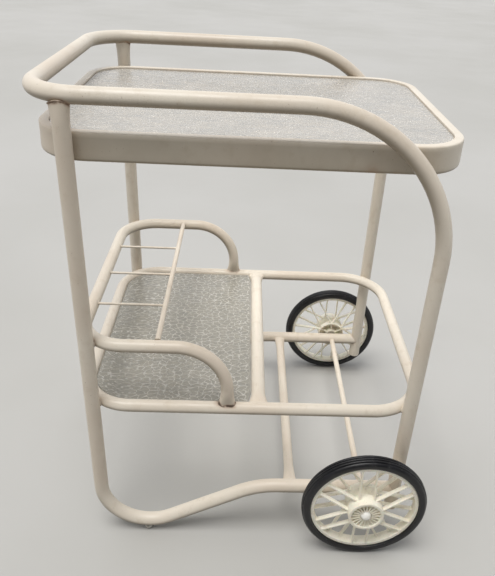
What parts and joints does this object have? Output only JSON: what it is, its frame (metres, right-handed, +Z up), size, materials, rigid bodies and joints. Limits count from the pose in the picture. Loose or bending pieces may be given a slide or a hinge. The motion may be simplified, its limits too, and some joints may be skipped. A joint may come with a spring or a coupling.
{
  "type": "two-shelf tubular serving cart",
  "caption": "Push cart of bent cream tube with a glass tray top, a half-glazed lower shelf with a bottle rack, and wire-look wheels at one end.",
  "frame": {"origin": "on the floor, under the middle of the cart's outline", "axes": "+Z up; +X towards the wheeled end, -X towards the push handle; -Y the near side, +Y the far side"},
  "size_m": [0.6794, 0.653, 0.8479],
  "materials": {
    "cream_powder_coat": "satin powder coat",
    "cream_plastic": "moulded",
    "black_rubber": "ribbed",
    "obscure_glass": "patterned",
    "clear_vinyl": "soft",
    "white_nylon": "moulded",
    "plated_steel": "zinc plated"
  },
  "bodies": {
    "frame": {"top_frame": "cream_powder_coat", "left_leg_near": "cream_powder_coat", "left_leg_far": "cream_powder_coat", "shelf_loop": "cream_powder_coat", "shelf_crossbar": "cream_powder_coat", "lower_cross_tube": "cream_powder_coat", "bottle_guard": "cream_powder_coat", "divider_rod": "cream_powder_coat", "divider_wire_1": "cream_powder_coat", "divider_wire_2": "cream_powder_coat", "divider_wire_3": "cream_powder_coat", "tray_band": "cream_powder_coat", "top_bumper_1": "clear_vinyl", "top_bumper_2": "clear_vinyl", "top_bumper_3": "clear_vinyl", "top_bumper_4": "clear_vinyl", "top_bumper_5": "clear_vinyl", "top_bumper_6": "clear_vinyl", "shelf_tab_1": "cream_powder_coat", "shelf_tab_2": "cream_powder_coat", "shelf_tab_3": "cream_powder_coat", "shelf_tab_4": "cream_powder_coat", "shelf_tab_5": "cream_powder_coat", "shelf_tab_6": "cream_powder_coat", "shelf_bumper_1": "clear_vinyl", "shelf_bumper_2": "clear_vinyl", "shelf_bumper_3": "clear_vinyl", "shelf_bumper_4": "clear_vinyl", "shelf_bumper_5": "clear_vinyl", "shelf_bumper_6": "clear_vinyl", "leg_plug_near": "cream_plastic", "leg_plug_far": "cream_plastic", "glide_near": "plated_steel", "glide_far": "plated_steel", "axle": "cream_powder_coat", "axle_washer_near": "plated_steel", "axle_washer_far": "plated_steel", "cap_nut_near": "white_nylon", "cap_nut_far": "white_nylon"},
    "near_wheel": {"wheel_near": "cream_plastic", "tyre_near": "black_rubber", "hub_bush_near": "white_nylon"},
    "far_wheel": {"wheel_far": "cream_plastic", "tyre_far": "black_rubber", "hub_bush_far": "white_nylon"},
    "top_pane": {"top_glass": "obscure_glass"},
    "shelf_pane": {"shelf_glass": "obscure_glass"}
  },
  "joints": [
    {"name": "near_wheel_spin", "type": "hinge", "parent": "frame", "child": "near_wheel", "pos_m": [0.2234, -0.2944, 0.116], "axis": [0, 1, 0], "continuous": true},
    {"name": "far_wheel_spin", "type": "hinge", "parent": "frame", "child": "far_wheel", "pos_m": [0.2234, 0.2944, 0.116], "axis": [0, 1, 0], "continuous": true},
    {"name": "top_glass_lift", "type": "slide", "parent": "frame", "child": "top_pane", "axis": [0, 0, 1], "range_m": [0, 0.035]},
    {"name": "shelf_glass_lift", "type": "slide", "parent": "frame", "child": "shelf_pane", "axis": [0, 0, 1], "range_m": [0, 0.1]}
  ]
}
